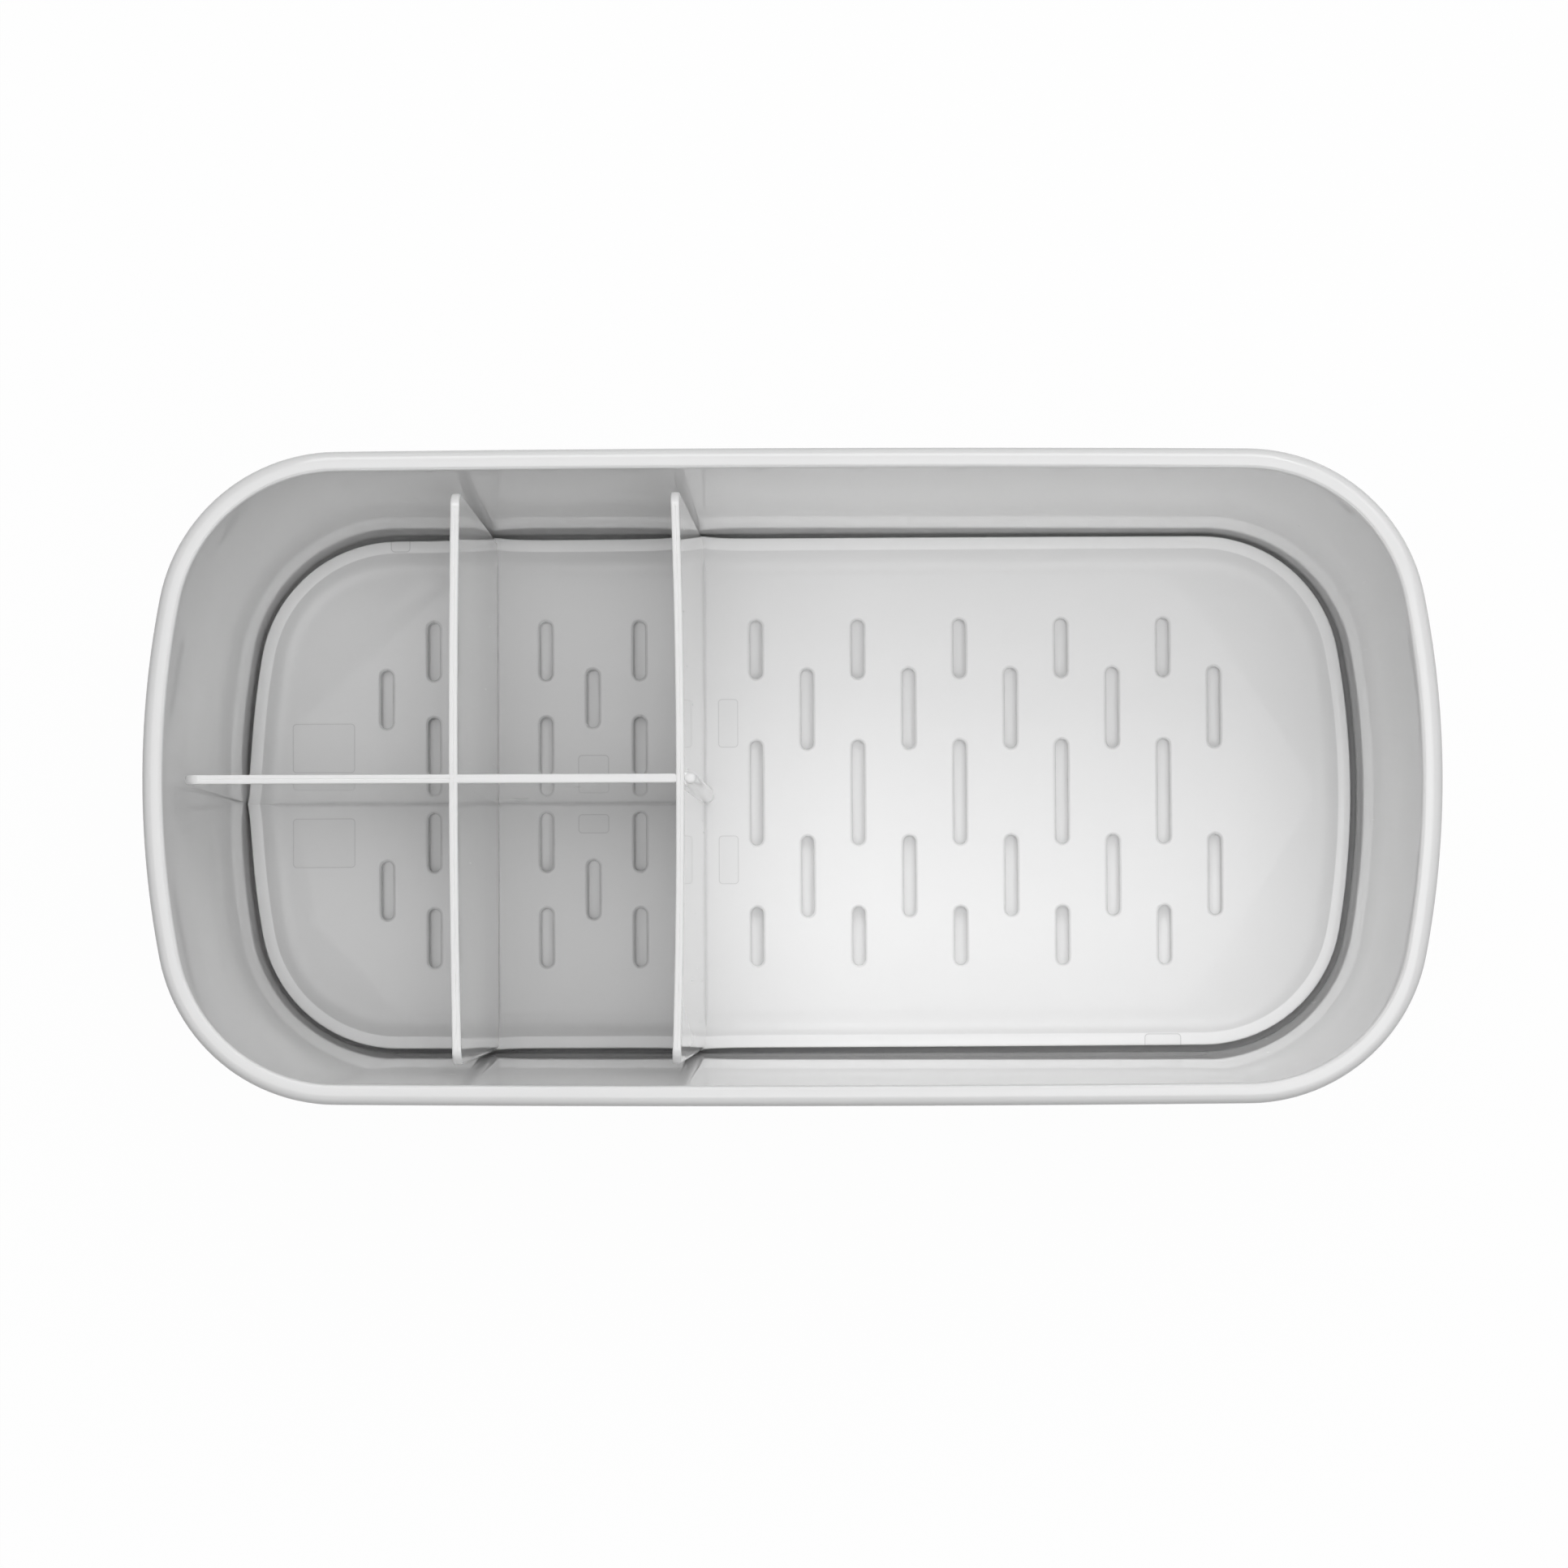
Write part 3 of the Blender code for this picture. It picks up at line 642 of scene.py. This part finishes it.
lip_inner = -LIP_GAP - LIP_WIDTH
lip_edge = arc(LIP_TOP - LIP_ROUND, lip_inner + LIP_ROUND, LIP_ROUND, 90.0, LIP_EDGE_TURN)
sweep_away = np.linspace(0.0, 1.0, SWEEP_STEPS + 1)[1:]
sweep = np.stack([
    PLATE_TOP + (lip_edge[-1, 0] - PLATE_TOP) * (1.0 - sweep_away) ** SWEEP_POWER,
    lip_edge[-1, 1] - SWEEP_REACH * sweep_away,
], axis=-1)
plate_section = np.vstack([
    [(PLATE_UNDERSIDE, -LIP_GAP - LIP_ROUND - SUPPORT)],
    arc(PLATE_UNDERSIDE + LIP_ROUND, -LIP_GAP - LIP_ROUND, LIP_ROUND, -90.0, 0.0),
    arc(LIP_TOP - LIP_ROUND, -LIP_GAP - LIP_ROUND, LIP_ROUND, 0.0, 90.0),
    lip_edge,
    sweep,
])
points, normals = wall_loops(plate_section[:, 0], PLATE_STEPS)
push = plate_section[:, 1, None] + swell(points)
plate_loops = raise_loops(points + normals * push[..., None], plate_section[:, 0])
plate = loft("caddy_floor_plate", settle(plate_loops))

slots = slot_table()
collar_flare = np.array([(TUB_FLOOR_TOP + COLLAR_GAP, COLLAR), (PLATE_UNDERSIDE + JOIN, COLLAR)])
combine(plate, loft("collars", slot_loops(slots, collar_flare)), "UNION")
cove_middle = TUB_FLOOR_TOP + COLLAR_GAP + SLOT_COVE
slot_flare = np.vstack([
    [(TUB_FLOOR_TOP, -SLOT_FOOT - SLOT_COVE)],
    arc(cove_middle, -SLOT_FOOT - SLOT_COVE, SLOT_COVE, SLOT_COVE_START, 0.0),
    arc(PLATE_TOP - SLOT_ROUND, SLOT_EDGE, SLOT_ROUND, 180.0, SLOT_ROUND_STOP),
    [(PLATE_TOP + JOIN, SLOT_EDGE)],
])
combine(plate, loft("slots", slot_loops(slots, slot_flare)), "DIFFERENCE")
insert_plastic = moulded_plastic("caddy_insert_plastic", POLISHED_LIT_WHITE, etched_floor_and_painted_shade, witness_lines)
dress(plate, insert_plastic)
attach(plate, "insert")
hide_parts("insert")

leg_profile = np.vstack([
    arc(TUB_FLOOR_TOP + SEAT_GAP + LIP_ROUND, LEG_RADIUS - LIP_ROUND, LIP_ROUND, -90.0, 0.0),
    [(PLATE_UNDERSIDE + JOIN, LEG_RADIUS)],
])
insert_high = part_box("insert")[1]
leg_far = insert_high.x - LIP_GAP - LEG_END_INSET
leg_side = insert_high.y - LIP_GAP - LEG_SIDE_INSET
leg_columns = np.linspace(-leg_far, leg_far, LEGS_A_SIDE)
leg_places = [np.array([x, y]) for x in leg_columns for y in (-leg_side, leg_side)]
leg_loops = np.stack([turned_loops(leg_profile, place) for place in leg_places])
legs = loft("caddy_insert_legs", settle(leg_loops))
dress(legs, insert_plastic)
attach(legs, "insert")
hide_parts("insert")

# Dividers: three upright blades of the insert's moulding, thicker at the foot by the mould's draft, with a
# small fillet on the floor, rounded top corners and a fine parting line along the top edge. Cooling has
# bowed the two cross dividers, and the long one runs from the left end into the second of them.
CROSS_DIVIDER_TOPS = (1.96 * MM, 1.84 * MM)
CROSS_FOOT_FILLETS = (0.35 * MM, 0.7 * MM)
CROSS_TOP_GAP = 4.7 * MM
CROSS_BOWS = (-0.61 * MM, 0.98 * MM)
CROSS_LEANS = (0.13 * MM, -0.15 * MM)
CROSS_TWISTS = (0.0, 0.06 * MM)
BOW_REACH = 61.0 * MM
LONG_DIVIDER_TOP = 2.02 * MM
LONG_DIVIDER_Y = -0.40 * MM
LONG_DIVIDER_SLOPE = -0.0026
LONG_DIVIDER_STEP = 0.02 * MM
LONG_FOOT_FILLET = 0.8 * MM
LONG_TOP_GAP = 4.6 * MM
DIVIDER_DROP = 0.6 * MM
DIVIDER_SINK = 0.5 * MM
DIVIDER_FACE_START = 1.5 * MM
DIVIDER_FACE_RINGS = 8
DIVIDER_EDGE_ROUND = 0.35 * MM
DIVIDER_CORNER_HEIGHT = 4.6 * MM
DIVIDER_CORNER_REACH = 3.4 * MM
DIVIDER_CORNER_TURN = np.linspace(0.1, 1.5, 12)
DIVIDER_FOOT_GAP = 0.5 * MM
DIVIDER_END_ROUNDNESS = (0.85, 0.5)
DIVIDER_STEPS = 40
PARTING_HALF_WIDTH = 0.12 * MM
PARTING_FLOOR_HALF = 0.02 * MM
PARTING_DEPTH = 0.12 * MM
PARTING_RINGS = 2


def divider_section(foot, thickness, fillet, top):
    """Rings of a divider from inside the plate up: heights, half thicknesses and how far its ends draw in.

    The faces lean evenly from the foot's thickness to the top's. The fillet spreads the foot, a small arc
    rounds the top edges, and a quarter of an ellipse draws the ends in towards the top.
    """
    corner = top - DIVIDER_CORNER_HEIGHT
    spread = arc(PLATE_TOP + fillet, fillet, fillet, -90.0, -180.0)
    face = np.linspace(PLATE_TOP + DIVIDER_FACE_START, corner, DIVIDER_FACE_RINGS)
    bend = corner + (DIVIDER_CORNER_HEIGHT - DIVIDER_EDGE_ROUND) * np.sin(DIVIDER_CORNER_TURN)
    edge = arc(top - DIVIDER_EDGE_ROUND, -DIVIDER_EDGE_ROUND, DIVIDER_EDGE_ROUND, 0.0, 90.0)
    plain = np.concatenate([face, bend])
    rings = np.vstack([
        [(PLATE_TOP - DIVIDER_SINK, fillet)],
        spread,
        np.stack([plain, np.zeros(len(plain))], axis=-1),
        edge,
    ])
    height, out = rings.T
    half = blend(foot / 2.0, thickness / 2.0, (height - PLATE_TOP) / (top - PLATE_TOP)) + out
    above = np.clip((height - corner) / DIVIDER_CORNER_HEIGHT, 0.0, 1.0)
    inset = DIVIDER_CORNER_REACH * (1.0 - np.sqrt(1.0 - above ** 2))
    parting = [
        (top, PARTING_HALF_WIDTH, inset[-1]),
        (top - PARTING_DEPTH, PARTING_FLOOR_HALF, inset[-1] + PARTING_DEPTH),
    ]
    return np.vstack([np.stack([height, half, inset], axis=-1), parting]).T


def lean_over(number, along, height):
    """How far a cross divider's middle has moved along the caddy: nothing at its foot, and at its top a
    parabola along its length for the bow, with an even lean and a twist added to it."""
    share = along / BOW_REACH
    bow = CROSS_BOWS[number] * (1.0 - share ** 2)
    return (bow + CROSS_TWISTS[number] * share + CROSS_LEANS[number]) * height / TUB_HEIGHT


def divider_reach(height, rim_half, lip_inset, top_gap):
    """How far a divider's end reaches at each height. The end is straight, from close to the wall at the
    lip to the top gap away from the rim."""
    share = (height - LIP_TOP) / (TUB_HEIGHT - LIP_TOP)
    return rim_half - RIM_WIDTH - blend(lip_inset + DIVIDER_FOOT_GAP, top_gap, share)


def end_roundness(height):
    """Round of a divider's ends as a share of its half thickness, from the foot up to the top."""
    return blend(*DIVIDER_END_ROUNDNESS, height / TUB_HEIGHT)


divider_top = TUB_HEIGHT - DIVIDER_DROP
cross_dividers = zip(CROSS_DIVIDER_X, CROSS_DIVIDER_TOPS, CROSS_FOOT_FILLETS)
for number, (x, thickness, fillet) in enumerate(cross_dividers):
    height, half, inset = divider_section(CROSS_DIVIDER_FOOT, thickness, fillet, divider_top)
    reach = divider_reach(height, RIM_HALF_WIDTH, LIP_SIDE_INSET, CROSS_TOP_GAP) - inset
    plan = bar_plans(-reach, reach, half, DIVIDER_STEPS, end_roundness(height))
    along, across = np.moveaxis(plan, -1, 0)
    middle = x + lean_over(number, along, height[:, None])
    loops = raise_loops(np.stack([middle - across, along], axis=-1), height)
    divider = loft(f"caddy_cross_divider_{number + 1}", settle(loops))
    dress(divider, insert_plastic)
    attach(divider, "insert")
    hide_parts("insert")

height, half, inset = divider_section(
    LONG_DIVIDER_FOOT, LONG_DIVIDER_TOP, LONG_FOOT_FILLET, divider_top - LONG_DIVIDER_STEP
)
start = inset - divider_reach(height, RIM_HALF_LENGTH, LIP_END_INSET, LONG_TOP_GAP)
stop = np.full(len(height), CROSS_DIVIDER_X[1])
stop[-PARTING_RINGS:] = CROSS_DIVIDER_X[0]
plan = bar_plans(start, stop, half, DIVIDER_STEPS, end_roundness(height))
plan[..., 1] += LONG_DIVIDER_Y + LONG_DIVIDER_SLOPE * plan[..., 0]
long_divider = loft("caddy_long_divider", settle(raise_loops(plan, height)))
dress(long_divider, insert_plastic)
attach(long_divider, "insert")
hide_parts("insert")

# Post: a half-round boss moulded against the second cross divider, where the long divider meets its other
# face. It tapers upwards by the mould's draft and has a softly domed top.
POST_TOP = 114.0 * MM
POST_TOP_REACH = 3.5 * MM
POST_FOOT_REACH = 4.7 * MM
POST_VALLEY = 0.9 * MM
POST_TOP_HALF = 1.27 * MM
POST_FOOT_HALF = 1.9 * MM
POST_DOME = 0.8 * MM
POST_DOME_TURN = 80.0
POST_TIP_HALF = 0.3 * MM
POST_FILLET = 0.3 * MM

dome = arc(POST_TOP - POST_DOME, -POST_DOME, POST_DOME, 0.0, POST_DOME_TURN)
post_section = np.vstack([
    [(PLATE_TOP - DIVIDER_SINK, POST_FILLET)],
    arc(PLATE_TOP + POST_FILLET, POST_FILLET, POST_FILLET, -90.0, -180.0),
    dome,
    [(POST_TOP, POST_TIP_HALF - POST_TOP_HALF)],
])
height, out = post_section.T
share = (height - PLATE_TOP) / (POST_TOP - PLATE_TOP)
post_y = LONG_DIVIDER_Y + LONG_DIVIDER_SLOPE * CROSS_DIVIDER_X[1]
root = CROSS_DIVIDER_X[1] + lean_over(1, post_y, height)
tip = root + blend(POST_FOOT_REACH, POST_TOP_REACH, share) + out
back = root + np.where(height > POST_TOP - POST_DOME, POST_VALLEY - out, 0.0)
post_plan = bar_plans(back, tip, blend(POST_FOOT_HALF, POST_TOP_HALF, share) + out)
post_plan[..., 1] += post_y
post = loft("caddy_post", settle(raise_loops(post_plan, height)))
dress(post, insert_plastic)
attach(post, "insert")
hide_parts("insert")

# Studio: a pale floor under the caddy and a world behind it, which the camera, glossy and transmission rays
# see as plain white, while the rest of the light sees them dimmer. Soft boxes hang over the caddy and to its
# back and right.
FLOOR_HALF = 4.0
FLOOR_PALE = (0.95, 0.95, 0.95, 1.0)
FLOOR_DIM = (0.25, 0.25, 0.25, 1.0)
FLOOR_ROUGHNESS = 0.9
FLOOR_SHADOW_SHARE = 0.03
PLAIN_WHITE = (1.0, 1.0, 1.0, 1.0)
WORLD_FILL = 0.10
SOFT_BOXES = {
    "box_overhead": {"place": (0.0, 0.0, 2.2), "size": 1.6, "power": 12.3},
    "box_core": {"place": (0.0, 0.0, 2.2), "size": 0.7, "power": 2.3},
    "box_back": {"place": (0.0, 1.15, 1.64), "size": 0.9, "power": 7.8},
    "box_back_right": {"place": (0.81, 0.81, 1.64), "size": 0.9, "power": 5.0},
    "box_front_right": {"place": (0.81, -0.81, 1.64), "size": 0.9, "power": 2.8},
    "box_over_front_right": {"place": (0.384, -0.384, 2.028), "size": 0.9, "power": 3.0},
}


def seen_rays(finish):
    """1 for rays that show the background: the camera's, and glossy and transmission rays."""
    camera, glossy, transmission = (
        finish.add("ShaderNodeLightPath", {}, {}, name)
        for name in ("Is Camera Ray", "Is Glossy Ray", "Is Transmission Ray")
    )
    return camera.most(glossy).most(transmission)


def soft_box(name, place, size, power):
    """A square soft light that points at the caddy and stays out of the camera's sight."""
    lamp = bpy.data.lights.new(name, "AREA")
    lamp.shape = "SQUARE"
    lamp.size = size
    lamp.energy = power
    holder = bpy.data.objects.new(name, lamp)
    holder.location = place
    holder.rotation_euler = (-Vector(place)).to_track_quat("-Z", "Y").to_euler()
    holder.visible_camera = False
    bpy.context.scene.collection.objects.link(holder)


floor_mesh = bpy.data.meshes.new("studio_floor")
corners = FLOOR_HALF * np.array([(-1.0, -1.0, 0.0), (1.0, -1.0, 0.0), (1.0, 1.0, 0.0), (-1.0, 1.0, 0.0)])
floor_mesh.from_pydata(corners.tolist(), [], [(0, 1, 2, 3)])
studio_floor = bpy.data.objects.new("studio_floor", floor_mesh)
bpy.context.scene.collection.objects.link(studio_floor)
paper = Finish(bpy.data.materials.new("studio_paper"))
camera_ray = paper.add("ShaderNodeLightPath", {}, {}, "Is Camera Ray")
paper.surface(Base_Color=paper.mix(camera_ray, FLOOR_DIM, FLOOR_PALE), Roughness=FLOOR_ROUGHNESS)
glow = paper.add("ShaderNodeEmission", {}, {"Color": PLAIN_WHITE, "Strength": 1.0})
lit = Wire(paper, paper.nodes["Principled BSDF"].outputs[0])
glow_share = seen_rays(paper) * (1.0 - FLOOR_SHADOW_SHARE)
shown = paper.add("ShaderNodeMixShader", {}, {0: glow_share, 1: lit, 2: glow})
paper.plug(paper.nodes["Material Output"].inputs["Surface"], shown)
floor_mesh.materials.append(paper.owner)

sky = Finish(bpy.data.worlds.new("studio_world"))
dim = sky.add("ShaderNodeBackground", {}, {"Color": PLAIN_WHITE, "Strength": WORLD_FILL})
white = sky.add("ShaderNodeBackground", {}, {"Color": PLAIN_WHITE, "Strength": 1.0})
shown = sky.add("ShaderNodeMixShader", {}, {0: seen_rays(sky), 1: dim, 2: white})
sky.plug(sky.nodes["World Output"].inputs["Surface"], shown)
bpy.context.scene.world = sky.owner

for name, settings in SOFT_BOXES.items():
    soft_box(name, **settings)

# Camera: a long lens almost straight above the caddy, a little towards its front right, as in the
# photograph.
SENSOR_WIDTH = 36.0
LENS_LENGTH = 157.145
CAMERA_FAR = 20.0
CAMERA_PLACE = (0.030066, -0.053879, 1.585)
CAMERA_TURN = (0.03545, 0.02154, -0.00202)

lens = bpy.data.cameras.new("camera")
lens.sensor_width = SENSOR_WIDTH
lens.lens = LENS_LENGTH
lens.clip_end = CAMERA_FAR
camera = bpy.data.objects.new("camera", lens)
camera.location = CAMERA_PLACE
camera.rotation_euler = CAMERA_TURN
bpy.context.scene.collection.objects.link(camera)
bpy.context.scene.camera = camera
bpy.context.scene.view_settings.view_transform = "Standard"
